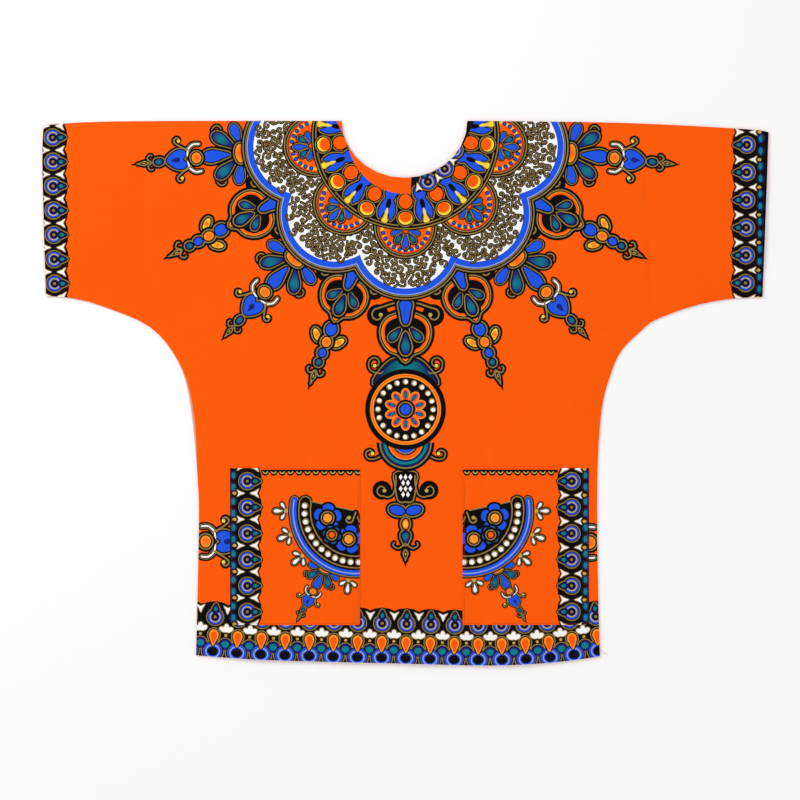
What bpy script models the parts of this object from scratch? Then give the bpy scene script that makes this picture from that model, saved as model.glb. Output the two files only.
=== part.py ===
"""A dashiki shirt laid flat on its back: a front and a back cut in a T, and two patch pockets.

Metres, +Z up, neck towards +Y, hem towards -Y. The origin is under the middle of the shirt, on the
surface that it lies on.
"""

import math

import bmesh
import bpy

CLOTH = 0.001  # thickness of each wall
SEAM_GAP = 0.0003  # between walls that touch
AIR = 0.0030  # how far the front lifts off the back, well away from the edges where they join
AIR_RUN = 0.055  # how far in from such an edge it takes to lift by about two thirds of that
HALF_SPAN = 0.526  # from the middle to either cuff
NECK_X, NECK_HALF_WIDTH, NECK_DEPTH = -0.0015, 0.0912, 0.0827
SHOULDER_Y = 0.3944  # the shoulder fold beside the neck
GRID = 0.027  # spacing of the lines that the front is divided along
NECK_STEPS = 14
PEEK = 0.0032  # how far the back's edge shows beyond the front's below the left arm
PEEK_Y, PEEK_REACH = -0.030, 0.085  # the height where it shows most, and how far up and down it shows
EDGE_STEPS = 4  # straight pieces between two places on an edge

# The edge of the shirt as runs between corners. Columns: place, x, y.
LEFT_SHOULDER = (
    ("neck", NECK_X - NECK_HALF_WIDTH, SHOULDER_Y),
    ("sleeve", -0.4212, 0.3937),
    ("cuff", -0.5243, 0.3880),
)
LEFT_CUFF = (
    ("top", -0.5243, 0.3880),
    ("upper", -HALF_SPAN, 0.3335),
    ("foot", -0.5210, 0.1409),
)
LEFT_SIDE = (
    ("cuff foot", -0.5210, 0.1409),
    ("sleeve", -0.4850, 0.1378),
    ("elbow", -0.4401, 0.1262),
    ("upper arm", -0.3705, 0.0957),
    ("underarm", -0.3299, 0.0464),
    ("breast", -0.3118, -0.0160),
    ("waist", -0.3012, -0.1262),
    ("hip", -0.2994, -0.1958),
    ("hem", -0.3035, -0.3799),
)
HEM = (
    ("left corner", -0.3035, -0.3799),
    ("left", -0.2182, -0.3857),
    ("left of middle", -0.1066, -0.3893),
    ("middle", -0.0080, -0.3915),
    ("right of middle", 0.1211, -SHOULDER_Y),
    ("right", 0.2139, -0.3901),
    ("right corner", 0.2816, -0.3814),
)
RIGHT_SIDE = (
    ("hem", 0.2816, -0.3814),
    ("hip", 0.2787, -0.2697),
    ("waist", 0.2777, -0.1262),
    ("breast", 0.2838, -0.0264),
    ("chest", 0.2970, 0.0265),
    ("underarm", 0.3125, 0.0609),
    ("crook", 0.3386, 0.0876),
    ("upper arm", 0.3618, 0.1059),
    ("elbow", 0.4169, 0.1262),
    ("sleeve", 0.4691, 0.1363),
    ("cuff foot", 0.5172, 0.1395),
)
RIGHT_CUFF = (
    ("foot", 0.5172, 0.1395),
    ("top", HALF_SPAN, 0.3780),
)
RIGHT_SHOULDER = (
    ("cuff", HALF_SPAN, 0.3780),
    ("forearm", 0.4908, 0.3825),
    ("sleeve", 0.3139, 0.3916),
    ("neck", NECK_X + NECK_HALF_WIDTH, SHOULDER_Y),
)

# Pressed-in creases of the front. Columns: name, x and y of each end, depth, half width.
CREASES = (
    ("left sleeve", -0.386, 0.381, -0.366, 0.110, 0.0014, 0.030),
    ("right sleeve", 0.347, 0.374, 0.357, 0.106, 0.0012, 0.028),
    ("left of front", -0.139, -0.045, -0.137, -0.300, 0.0009, 0.026),
    ("right of front", 0.115, 0.012, 0.117, -0.372, 0.0012, 0.028),
    ("left breast", -0.349, 0.087, -0.163, 0.084, 0.0011, 0.027),
    ("right breast", 0.245, 0.088, 0.311, 0.086, 0.0009, 0.025),
)

# Patch pockets. Columns: node, left x, right x.
POCKETS = (
    ("pocket_left", -0.2540, -0.0660),
    ("pocket_right", 0.0827, 0.2655),
)
POCKET_FOOT, POCKET_MOUTH = -0.3356, -0.1085

PRINT_ORANGE = (0.90, 0.115, 0.006, 1.0)
SHADED_ORANGE = (0.72, 0.085, 0.006, 1.0)
POCKET_ORANGE = (0.95, 0.14, 0.010, 1.0)
COTTON_ROUGHNESS = 0.85


def clear_scene():
    for obj in list(bpy.data.objects):
        bpy.data.objects.remove(obj, do_unlink=True)


def collection_named(name):
    collection = bpy.data.collections.new(name)
    bpy.context.scene.collection.children.link(collection)
    return collection


def cotton(name, colour):
    material = bpy.data.materials.new(name)
    material.use_nodes = True
    shader = material.node_tree.nodes["Principled BSDF"]
    shader.inputs["Base Color"].default_value = colour
    shader.inputs["Roughness"].default_value = COTTON_ROUGHNESS
    shader.inputs["Metallic"].default_value = 0.0
    return material


def between(p0, p1, p2, p3, t):
    """The point at t from p1 to p2 on the smooth line through all four."""
    return tuple(
        0.5 * (2 * b + (c - a) * t + (2 * a - 5 * b + 4 * c - d) * t * t + (3 * b - a - 3 * c + d) * t ** 3)
        for a, b, c, d in zip(p0, p1, p2, p3)
    )


def smooth_run(rows):
    """The run's points, smooth through its places. Its last corner belongs to the next run."""
    places = [(x, y) for _, x, y in rows]
    ends = [places[0]] + places + [places[-1]]
    points = []
    for i in range(len(places) - 1):
        points += [between(*ends[i : i + 4], step / EDGE_STEPS) for step in range(EDGE_STEPS)]
    return points


def neck_run():
    """The neck hole's half ellipse, from the right shoulder round to the left one, without its last corner."""
    angles = [-math.pi * step / NECK_STEPS for step in range(NECK_STEPS)]
    return [
        (NECK_X + NECK_HALF_WIDTH * math.cos(a), SHOULDER_Y + NECK_DEPTH * math.sin(a)) for a in angles
    ]


def peek(y):
    """How far the front's left edge lies in from the back's at this height."""
    return PEEK * max(1.0 - ((y - PEEK_Y) / PEEK_REACH) ** 2, 0.0)


def shirt_edge(peeking):
    """The whole edge, of the back or, where the back peeks out under it, of the front."""
    points = smooth_run(LEFT_SHOULDER) + smooth_run(LEFT_CUFF)
    points += [(x + peeking * peek(y), y) for x, y in smooth_run(LEFT_SIDE)]
    for rows in (HEM, RIGHT_SIDE, RIGHT_CUFF, RIGHT_SHOULDER):
        points += smooth_run(rows)
    return points + neck_run()


def joined_edges():
    """The stretches where front and back are one cloth or sewn together, as pairs of points."""
    stretches = []
    for rows in (LEFT_SHOULDER, LEFT_SIDE, RIGHT_SIDE, RIGHT_SHOULDER):
        points = smooth_run(rows) + [rows[-1][1:]]
        stretches += zip(points, points[1:])
    return stretches


def distance(x, y, start, end):
    """From a point to the stretch between two others."""
    run_x, run_y = end[0] - start[0], end[1] - start[1]
    along = ((x - start[0]) * run_x + (y - start[1]) * run_y) / (run_x ** 2 + run_y ** 2)
    along = min(max(along, 0.0), 1.0)
    return math.hypot(x - start[0] - along * run_x, y - start[1] - along * run_y)


def crease_depth(x, y):
    depth = 0.0
    for _, x0, y0, x1, y1, deepest, half_width in CREASES:
        near = 1.0 - distance(x, y, (x0, y0), (x1, y1)) / half_width
        if near > 0.0:
            depth = max(depth, deepest * near * near * (3.0 - 2.0 * near))
    return depth


def lift(x, y, joined):
    """How far the front lies above the back here, over the gap that they keep at the seams."""
    inward = min(distance(x, y, start, end) for start, end in joined)
    return max(AIR * (1.0 - math.exp(-inward / AIR_RUN)) - crease_depth(x, y), 0.0)


def flat_outline(name, points, half_thickness):
    """A flat closed outline as a filled 2D curve, turned into a welded mesh."""
    curve = bpy.data.curves.new(name, "CURVE")
    curve.dimensions = "2D"
    curve.fill_mode = "BOTH"
    curve.extrude = half_thickness
    spline = curve.splines.new("POLY")
    spline.points.add(len(points) - 1)
    for place, (x, y) in zip(spline.points, points):
        place.co = (x, y, 0.0, 1.0)
    spline.use_cyclic_u = True
    guide = bpy.data.objects.new(name, curve)
    bpy.context.scene.collection.objects.link(guide)
    evaluated = guide.evaluated_get(bpy.context.evaluated_depsgraph_get())
    mesh = bpy.data.meshes.new_from_object(evaluated)
    bpy.data.objects.remove(guide, do_unlink=True)
    bpy.data.curves.remove(curve)
    shape = bmesh.new()
    shape.from_mesh(mesh)
    bmesh.ops.remove_doubles(shape, verts=shape.verts, dist=1e-5)
    bpy.data.meshes.remove(mesh)
    return shape


def divide(shape, along, place):
    """Cuts the sheet along one straight line, at right angles to an axis."""
    where, normal = [0.0, 0.0, 0.0], [0.0, 0.0, 0.0]
    where[along], normal[along] = place, 1.0
    everything = shape.verts[:] + shape.edges[:] + shape.faces[:]
    bmesh.ops.bisect_plane(shape, geom=everything, dist=1e-5, plane_co=where, plane_no=normal)


def grid_lines(low, high, kept):
    """Even spacing from low to high, moved onto the lines that have to be there."""
    count = round((high - low) / GRID)
    lines = [low + (high - low) * (i + 0.5) / count for i in range(count)]
    return kept + [line for line in lines if all(abs(line - other) > GRID / 2 for other in kept)]


def object_of(shape, name, material, collection):
    mesh = bpy.data.meshes.new(name)
    shape.to_mesh(mesh)
    shape.free()
    mesh.materials.append(material)
    obj = bpy.data.objects.new(name, mesh)
    collection.objects.link(obj)
    return obj


def thicken(obj):
    """Gives an open sheet its thickness, downwards from its upper face."""
    solidify = obj.modifiers.new("cloth", "SOLIDIFY")
    solidify.thickness = CLOTH
    solidify.offset = -1.0


def make_back(collection):
    shape = flat_outline("back", shirt_edge(peeking=False), CLOTH / 2)
    bmesh.ops.translate(shape, verts=shape.verts, vec=(0.0, 0.0, CLOTH / 2))
    bmesh.ops.recalc_face_normals(shape, faces=shape.faces)
    return object_of(shape, "back", cotton("back cotton", SHADED_ORANGE), collection)


def front_sheet():
    """The front's upper face: the outline divided into a grid and lifted off the back."""
    shape = flat_outline("front", shirt_edge(peeking=True), 0.0)
    bmesh.ops.dissolve_faces(shape, faces=shape.faces[:], use_verts=False)
    pocket_x = [x for _, left, right in POCKETS for x in (left, right)]
    pocket_y = [POCKET_FOOT, POCKET_MOUTH]
    for line in grid_lines(-HALF_SPAN, HALF_SPAN, pocket_x):
        divide(shape, 0, line)
    for line in grid_lines(-SHOULDER_Y, SHOULDER_Y, pocket_y):
        divide(shape, 1, line)
    bmesh.ops.triangulate(shape, faces=shape.faces[:])
    joined = joined_edges()
    lowest = CLOTH + SEAM_GAP + CLOTH
    for vert in shape.verts:
        vert.co.z = lowest + lift(vert.co.x, vert.co.y, joined)
    for face in shape.faces:
        if face.normal.z < 0:
            face.normal_flip()
        face.smooth = True
    return shape


def make_front(sheet, collection):
    front = object_of(sheet.copy(), "front", cotton("front cotton", PRINT_ORANGE), collection)
    thicken(front)
    return front


def make_pocket(sheet, row, collection):
    """The part of the front's face inside the pocket's four sides, moved out onto it."""
    name, left, right = row
    shape = sheet.copy()
    outside = []
    for face in shape.faces:
        middle = face.calc_center_median()
        if not (left < middle.x < right and POCKET_FOOT < middle.y < POCKET_MOUTH):
            outside.append(face)
    bmesh.ops.delete(shape, geom=outside, context="FACES")
    bmesh.ops.translate(shape, verts=shape.verts, vec=(0.0, 0.0, SEAM_GAP + CLOTH))
    pocket = object_of(shape, name, cotton(name.replace("_", " "), POCKET_ORANGE), collection)
    thicken(pocket)
    return pocket


def main():
    clear_scene()
    shirt = collection_named("dashiki_shirt")
    make_back(shirt)
    sheet = front_sheet()
    make_front(sheet, shirt)
    for row in POCKETS:
        make_pocket(sheet, row, shirt)
    sheet.free()


main()
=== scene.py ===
"""The looks of the dashiki shirt: printed cotton panels with their wax print, hems, stitches and creases.

The cloth is drawn in millimetres, seen from above, with +y towards the neck, and then made in metres. Each
printed shape is an outline filled with an ink. Every outline becomes edges of the panel's own mesh, and
each of its triangles takes the ink that lies on top there.
"""

import math
from collections import namedtuple

import bpy
import numpy as np
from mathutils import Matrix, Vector
from mathutils.bvhtree import BVHTree
from mathutils.geometry import delaunay_2d_cdt


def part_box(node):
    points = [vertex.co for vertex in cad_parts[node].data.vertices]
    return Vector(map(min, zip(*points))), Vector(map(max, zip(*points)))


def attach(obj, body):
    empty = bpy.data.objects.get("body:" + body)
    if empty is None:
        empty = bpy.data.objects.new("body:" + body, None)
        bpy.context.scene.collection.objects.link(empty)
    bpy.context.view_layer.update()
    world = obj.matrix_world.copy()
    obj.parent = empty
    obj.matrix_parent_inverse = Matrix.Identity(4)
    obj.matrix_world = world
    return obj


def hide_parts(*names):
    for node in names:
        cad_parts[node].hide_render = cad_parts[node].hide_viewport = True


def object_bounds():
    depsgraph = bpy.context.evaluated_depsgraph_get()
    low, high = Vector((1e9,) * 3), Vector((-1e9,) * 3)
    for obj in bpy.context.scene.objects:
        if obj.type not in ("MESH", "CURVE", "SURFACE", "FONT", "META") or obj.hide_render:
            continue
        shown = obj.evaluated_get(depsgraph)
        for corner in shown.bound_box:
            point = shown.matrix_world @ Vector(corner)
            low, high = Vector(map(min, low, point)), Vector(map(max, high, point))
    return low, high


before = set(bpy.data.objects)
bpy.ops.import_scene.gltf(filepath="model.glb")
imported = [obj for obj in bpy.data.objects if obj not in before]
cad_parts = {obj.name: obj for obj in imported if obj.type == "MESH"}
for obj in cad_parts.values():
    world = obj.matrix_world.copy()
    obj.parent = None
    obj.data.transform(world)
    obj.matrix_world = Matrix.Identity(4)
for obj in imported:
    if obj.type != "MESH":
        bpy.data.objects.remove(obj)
cad_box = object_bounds()

MM = 0.001
FRONT_LOW, FRONT_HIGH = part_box("front")
NECK = ((FRONT_LOW[0] + FRONT_HIGH[0]) / 2, FRONT_HIGH[1])  # 0, 0 of the print: the shoulder line's middle

# The inks, as they look in daylight: red, green, blue, from 0 to 255.
INKS = {
    "orange": (255, 91, 0),
    "deep": (240, 66, 6),
    "amber": (255, 152, 40),
    "yellow": (250, 214, 62),
    "gold": (150, 122, 66),
    "bright gold": (196, 164, 78),
    "brown": (124, 100, 56),
    "tan": (184, 170, 146),
    "black": (6, 4, 3),
    "blue": (30, 84, 226),
    "pale blue": (150, 168, 222),
    "mid blue": (42, 78, 196),
    "navy": (26, 32, 118),
    "night": (14, 34, 84),
    "teal": (12, 124, 136),
    "white": (250, 248, 246),
    "reverse": (226, 178, 152),
    "thread": (170, 66, 14),
}

# Line widths of the print, in millimetres, from a cell's filling outwards.
DARK_LINE, GOLD_LINE, HALO_LINE = 2.0, 1.7, 3.2
HALO, GOLD, DARK, FILL, OVER, TOP = range(6)  # the order in which a motif's shapes are printed

Shape = namedtuple("Shape", "outline ink level glow")
Glow = namedtuple("Glow", "ink x y reach")


# ---------------------------------------------------------------- outlines


def turned_left(outline):
    """The outline run anticlockwise, with no two points in one place."""
    step = np.linalg.norm(outline - np.roll(outline, 1, axis=0), axis=1)
    outline = outline[step > 0.02]
    x, y = outline[:, 0], outline[:, 1]
    area = np.sum(x * np.roll(y, -1) - y * np.roll(x, -1))
    return outline if area > 0 else outline[::-1]


def smooth(places, steps=4, closed=True):
    """A smooth line through the places, as points."""
    p = np.array(places, float)
    if closed:
        a, b, c, d = np.roll(p, 1, 0), p, np.roll(p, -1, 0), np.roll(p, -2, 0)
    else:
        ends = np.vstack([p[:1], p, p[-1:]])
        a, b, c, d = ends[:-3], ends[1:-2], ends[2:-1], ends[3:]
    runs = []
    for t in np.arange(steps) / steps:
        cubic = (3 * b - a - 3 * c + d) * t ** 3 + (2 * a - 5 * b + 4 * c - d) * t * t
        runs.append(0.5 * (2 * b + (c - a) * t + cubic))
    points = np.stack(runs, axis=1).reshape(-1, 2)
    return points if closed else np.vstack([points, p[-1:]])


def both_halves(half, steps=4):
    """The whole smooth outline whose right half runs from the top of the axis to its foot."""
    other = [(-x, y) for x, y in reversed(half) if x > 0]
    return smooth(list(half) + other, steps)


def oval(x, y, across, along, lean=0.0, sides=18):
    """An ellipse by its half widths, leaning by so many degrees."""
    a = np.arange(sides) * 2 * math.pi / sides
    px, py = across * np.cos(a), along * np.sin(a)
    c, s = math.cos(math.radians(lean)), math.sin(math.radians(lean))
    return np.stack([x + px * c - py * s, y + px * s + py * c], axis=1)


def arc(x, y, radius, start, end, steps):
    """Points along a circle between two bearings in degrees, anticlockwise from +x."""
    a = np.radians(np.linspace(start, end, steps))
    return np.stack([x + radius * np.cos(a), y + radius * np.sin(a)], axis=1)


def grown(outline, by):
    """The outline moved outwards along its own normals."""
    outline = turned_left(np.asarray(outline, float))
    along = np.roll(outline, -1, axis=0) - np.roll(outline, 1, axis=0)
    along /= np.maximum(np.linalg.norm(along, axis=1, keepdims=True), 1e-9)
    return outline + by * np.stack([along[:, 1], -along[:, 0]], axis=1)


def ribbon(line, width, end_width=None):
    """A band along a line, with round ends, tapering if it ends at another width."""
    line = np.asarray(line, float)
    along = np.gradient(line, axis=0)
    along /= np.maximum(np.linalg.norm(along, axis=1, keepdims=True), 1e-9)
    side = np.stack([-along[:, 1], along[:, 0]], axis=1)
    half = np.linspace(width, width if end_width is None else end_width, len(line))[:, None] / 2
    cap = np.radians([45, 0, -45])[:, None]
    last = line[-1] + (along[-1] * np.cos(cap) + side[-1] * np.sin(cap)) * half[-1]
    first = line[0] - (along[0] * np.cos(cap) + side[0] * np.sin(cap)) * half[0]
    return np.vstack([line + side * half, last, (line - side * half)[::-1], first])


# ---------------------------------------------------------------- printed shapes


def flat(outline, ink, level=FILL, glow=None):
    return [Shape(turned_left(np.asarray(outline, float)), ink, level, glow)]


def cell(outline, ink, glow=None):
    """A filled cell inside a dark line, a gold line and a black halo, perhaps lit by a second ink."""
    outline = turned_left(np.asarray(outline, float))
    shapes = flat(grown(outline, DARK_LINE + GOLD_LINE + HALO_LINE), "black", HALO)
    shapes += flat(grown(outline, DARK_LINE + GOLD_LINE), "gold", GOLD)
    shapes += flat(grown(outline, DARK_LINE), "black", DARK)
    return shapes + lit(outline, ink, glow)


def lit(outline, ink, glow):
    """The filling of a cell, which shades into a second ink towards its middle."""
    outline = turned_left(np.asarray(outline, float))
    shapes = flat(outline, ink)
    if glow:
        middle = outline.mean(axis=0)
        reach = np.linalg.norm(outline - middle, axis=1).mean()
        light = Glow(glow, middle[0], middle[1], reach)
        for share in (0.88, 0.5):
            shapes += flat(middle + (outline - middle) * share, ink, OVER, light)
    return shapes


def scroll(places, bead="yellow", width=1.9, halo=HALO_LINE, steps=4):
    """A gold tendril in a black halo, ending in a bead."""
    line = smooth(places, steps, closed=False)
    shapes = flat(ribbon(line, width + 2 * halo), "black", HALO)
    shapes += flat(ribbon(line, width), "gold", OVER)
    if bead:
        shapes += flat(oval(*line[-1], 2.7, 2.7, sides=10), bead, TOP)
    return shapes


def placed(shapes, x=0.0, y=0.0, turn=0.0, size=1.0, flip=False):
    """The shapes moved: flipped left to right, sized, turned by so many degrees and shifted."""
    c, s = size * math.cos(math.radians(turn)), size * math.sin(math.radians(turn))
    sign = -1.0 if flip else 1.0
    matrix = np.array([[c * sign, s * sign], [-s, c]])
    moved = []
    for shape in shapes:
        outline = turned_left(shape.outline @ matrix + (x, y))
        glow = shape.glow
        if glow:
            gx, gy = np.array([glow.x, glow.y]) @ matrix + (x, y)
            glow = Glow(glow.ink, gx, gy, glow.reach * size)
        moved.append(Shape(outline, shape.ink, shape.level, glow))
    return moved


def pair(shapes):
    """The shapes and their mirror image across the axis."""
    return shapes + placed(shapes, flip=True)


def in_order(*motifs):
    """The shapes of all the motifs as one motif, level by level."""
    shapes = [shape for motif in motifs for shape in motif]
    return sorted(shapes, key=lambda shape: shape.level)


def bands(outline, *layers):
    """Nested shapes, each the outline moved out or in by its first number and filled with its ink."""
    outline = turned_left(np.asarray(outline, float))
    shapes = []
    for by, ink in layers:
        level = HALO if by > 4 else GOLD if by > 1.8 else FILL
        shapes += flat(grown(outline, by), ink, level)
    return shapes


def coil(x, y, radius, start, sweep, lead=(), bead="yellow", width=1.9, disc=0.0, halo=HALO_LINE):
    """A tendril that winds in round (x, y) from the bearing start, led in by the places given."""
    turns = np.linspace(0, 1, 8)
    bearings = np.radians(start + sweep * turns)
    spread = radius * (1 - 0.62 * turns)
    wound = np.stack([x + spread * np.cos(bearings), y + spread * np.sin(bearings)], axis=1)
    shapes = flat(oval(x, y, disc, disc), "black", HALO) if disc else []
    return shapes + scroll(list(lead) + wound.tolist(), bead, width, halo, 2)


def petal(x, y, across, along, lean=0.0, ink="navy", glow="teal"):
    """A round cell of a flower, with a wide dark edge and no gold line."""
    outline = oval(x, y, across, along, lean, 14)
    return flat(grown(outline, 3.2), "black", HALO) + lit(outline, ink, glow)


def drop_shape(x, y, across, along, lean=0.0):
    """A drop whose point is at its foot and whose round head is at its top."""
    half = [(0, 1.0), (0.72, 0.8), (1.0, 0.3), (0.62, -0.32), (0, -1.0)]
    shape = both_halves([(across * px, along * py) for px, py in half], 3)
    return placed(flat(shape, "black"), x, y, lean)[0].outline


def spear(y, length, width=4.2):
    """The gold spearhead at a pendant's foot, with its dark heart and black point."""
    half = [(0, y), (width, y - 0.34 * length), (0.5 * width, y - 0.7 * length), (0, y - length)]
    blade = both_halves(half, 3)
    shapes = flat(grown(blade, 3.2), "black", HALO) + flat(blade, "gold", OVER)
    shapes += flat(oval(0, y - 0.42 * length, 0.5 * width, 0.26 * length, 0, 10), "black", TOP)
    shapes += flat(oval(0, y - 0.42 * length, 0.2 * width, 0.12 * length, 0, 8), "bright gold", TOP)
    point = [(-4.4, y - 0.7 * length), (4.4, y - 0.7 * length), (0, y - length - 9)]
    return shapes + flat(point, "black", HALO)


def cross_curls(y, reach, width=2.0):
    """Two small gold curls thrown out from the stem."""
    line = smooth([(0, y + 4), (0.55 * reach, y - 3), (reach, y + 1), (0.92 * reach, y + 5)], 3, False)
    return pair(scroll(line, None, width))


# ---------------------------------------------------------------- flowers, fans and beads

BEAD_GAP = 1.6  # from a bead's edge to the middle of the gap, in millimetres
BLUE, DEEP_TEAL, WARM = ("blue", None), ("navy", "teal"), ("amber", "orange")  # an ink and its glow


def rosette(radius, count, ink, glow, eye="blue"):
    """A flower of evenly spaced petals round an eye."""
    shapes = []
    across = 0.62 * math.pi * radius / count
    for index in range(count):
        leaf = petal(0, 0.68 * radius, across, 0.3 * radius, 0, ink, glow)
        shapes += placed(leaf, turn=360 * index / count)
    return in_order(shapes) + cell(oval(0, 0, 0.3 * radius, 0.3 * radius), eye)


def fan(count, spread, length, width, inks=(("blue", None), ("navy", "teal"))):
    """Leaves spread out from one root at 0, the longest on the axis, in the inks by turns."""
    shapes = []
    for index in range(count):
        lean = spread * (index / (count - 1) - 0.5)
        leaf = cell(drop_shape(0, -0.66 * length, width, 0.34 * length, 180), *inks[index % len(inks)])
        shapes += placed(leaf, turn=lean, size=1 - 0.5 * abs(lean) / spread)
    return in_order(shapes)


def beads(y, radii, inks):
    """A string of beads down the axis from y, each just clear of the last."""
    shapes = []
    for radius, (ink, glow) in zip(radii, inks):
        y -= radius + BEAD_GAP
        shapes += cell(oval(0, y, 0.86 * radius, radius), ink, glow)
        y -= radius + BEAD_GAP
    return in_order(shapes)


def horn(places):
    """A white rib in gold."""
    line = smooth(places, 4, False)
    shapes = flat(ribbon(line, 12), "black", HALO) + flat(ribbon(line, 7), "gold", GOLD)
    return shapes + flat(ribbon(line, 5), "black", DARK) + flat(ribbon(line, 2.6), "white", FILL)


# ---------------------------------------------------------------- pendants, each with its root at 0

PEARLS, PETALS = 20, 10  # of the medallion


def lily():
    """A fan of leaves between tendrils, then a bead, horns, a tulip, a seed and a spear."""
    upper = pair(coil(41, -38, 9, -100, 310, [(12, -10), (24, -32), (31, -43)], "bright gold"))
    lower = pair(coil(31, -104, 6, 230, 250, [(13, -86), (20, -99)], "yellow", 2.4))
    tulip = both_halves([(0, -98), (7, -92), (14, -96), (15, -106), (9, -117), (0, -124)], 3)
    tail = in_order(lower, pair(horn([(5, -90), (15, -88), (22, -80), (22, -70)])), cell(tulip, "blue"),
                    flat(drop_shape(0, -110, 4.2, 7.6), "navy", TOP),
                    cell(oval(0, -137, 4.6, 7.0), *DEEP_TEAL), cross_curls(-152, 12), spear(-152, 22))
    root = cell(oval(0, -5, 15, 8), "amber", "orange")
    return in_order(upper) + tail + fan(5, 150, 66, 9.5) + in_order(root, cell(oval(0, -76, 8.6, 7.6), *WARM))


def shield():
    """Three drops in a lobed band, hung from a blue stem between two volutes."""
    rim = both_halves([(0, -20), (20, -24), (31, -36), (31, -54), (22, -68), (9, -74), (0, -84)], 3)
    rings = bands(rim, (7.0, "black"), (3.4, "gold"), (1.6, "black"), (0, "amber"), (-1.2, "orange"),
                  (-4.2, "black"))
    volutes = pair(coil(37, -22, 10, 100, -290, [(6, -4), (20, -7)], "bright gold", 2.0, 15))
    stem = cell(both_halves([(0, -2), (8, -6), (6, -18), (4, -30), (0, -34)], 3), "blue")
    return in_order(volutes, rings) + placed(fan(3, 84, 42, 6.4, (DEEP_TEAL,)), 0, -32) + in_order(stem)


def spray():
    """A shield over a string of graded beads with two leaves, and a spear."""
    leaves = pair(cell(oval(17, -112, 4.4, 9, -38), "yellow", "orange"))
    string = beads(-87, (9.0, 7.4, 6.2, 5.0), (BLUE, WARM, BLUE, DEEP_TEAL))
    return in_order(leaves, cross_curls(-164, 12), spear(-160, 24)) + string + shield()


def medallion(radius):
    """An orange ring, pearls on black and a flower of ten petals."""
    shapes = []
    for share, ink in ((1.085, "black"), (0.95, "amber"), (0.925, "orange"), (0.89, "amber"),
                       (0.855, "black")):
        shapes += flat(oval(0, 0, radius * share, radius * share, sides=56), ink)
    pearl = flat(oval(0, 0.74 * radius, 4.4, 4.4, 0, 12), "gold", OVER)
    pearl += flat(oval(0.7, 0.74 * radius, 2.9, 3.2, 0, 10), "white", TOP)
    for index in range(PEARLS):
        shapes += placed(pearl, turn=360 * index / PEARLS)
    for index in range(PETALS):
        leaf = flat(oval(0, 0.38 * radius, 7.2, 10.4, 0, 14), "amber", OVER)
        leaf += flat(oval(0, 0.38 * radius, 5.6, 8.8, 0, 14), "orange", OVER)
        leaf += lit(oval(0, 0.39 * radius, 3.2, 6.2, 0, 12), "navy", "teal")
        shapes += [shape._replace(level=TOP) for shape in placed(leaf, turn=360 / PETALS * index)]
    return shapes + cell(oval(0, 0, 0.14 * radius, 0.14 * radius), "blue")


def centre_pendant():
    """The long pendant: shield, medallion, banded bowl, lattice, twin leaves, bead, seed and spear."""
    shoulder = both_halves([(0, -90), (16, -88), (30, -98), (45, -118), (38, -126), (0, -108)], 3)
    upper = in_order(pair(coil(44, -93, 10, -20, 300, [(24, -100), (36, -108), (50, -104)], "yellow")),
                     cell(shoulder, "night", "teal"))
    bowl = pair(coil(51, -224, 8.4, -100, 280, [(30, -224), (42, -231)], "yellow"))
    for size, ink in ((42, "black"), (38, "gold"), (36, "night"), (32, "teal"), (28, "night"), (25, "amber"),
                      (23.6, "orange"), (18.6, "black"), (17, "gold"), (15.2, "blue")):
        bowl += flat(arc(0, -208, size, 180, 360, 22), ink, TOP)
    twin = pair(cell(oval(12, -306, 11, 6.4, 14), "blue"))
    bead = cell(oval(0, -326, 4.6, 7.4), "orange", "yellow")
    seed = cell(drop_shape(0, -346, 5.6, 9), *DEEP_TEAL)
    foot = in_order(twin, bead, seed, cross_curls(-358, 18), spear(-362, 18, 4.6))
    lower = upper + foot + lattice() + in_order(bowl)
    return lower + placed(medallion(54), 0, -160) + placed(shield(), size=1.08)


def lattice():
    """White diamonds on a black panel, between two volutes."""
    panel = both_halves([(0, -250), (16, -253), (14, -272), (10, -292), (0, -293)], 3)
    lead = [(14, -256), (14, -268), (18, -283), (26, -287)]
    shapes = pair(coil(34, -277, 9.2, -110, 300, lead, "bright gold", 2.0, 14))
    shapes += bands(panel, (4.2, "black"), (1.9, "gold"), (0, "black"))
    for row in range(4):
        for column in (-1, 0, 1) if row % 2 == 0 else (-0.5, 0.5):
            x, y = 7.0 * column, -258 - 8.4 * row
            shapes += flat([(x, y + 4.4), (x + 2.7, y), (x, y - 4.4), (x - 2.7, y)], "white", TOP)
    return in_order(shapes)


# ---------------------------------------------------------------- the yoke

RING_RADIUS = 134.0
RING_CENTRE = (0.0, -22.0)  # a little below the shoulder line, so that the ring clears the neck hole
LOBE_STEP, LOBE_AWAY, LOBE_RADIUS = 42.0, 152.0, 86.0  # degrees between lobes, their centres and their size
LOBE_REACH = LOBE_AWAY + LOBE_RADIUS
HALF_STEP = math.radians(LOBE_STEP / 2)
CUSP_REACH = (LOBE_AWAY * math.cos(HALF_STEP)
              + math.sqrt(LOBE_RADIUS ** 2 - (LOBE_AWAY * math.sin(HALF_STEP)) ** 2))
RING_STEP = 14.0  # degrees between a tulip and the discs beside it
RIM = ((-1.6, "black"), (1.0, "gold"), (2.7, "black"), (4.8, "gold"), (6.1, "black"), (6.9, "pale blue"),
       (8.5, "blue"), (17.0, "white"))
CURL_ROW, CURL_STEP, CURL_ROOM = 9.8, 11.6, 19.5  # between rows, between curls, and from the border
FIELD_SPREAD = 104  # how far round the scrolls go, in degrees each way from straight down


def around(shapes, bearing, radius):
    """The shapes set out from the ring's centre, on a bearing from straight down towards the right."""
    angle = math.radians(bearing)
    return placed(shapes, radius * math.sin(angle), -radius * math.cos(angle), bearing)


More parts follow.
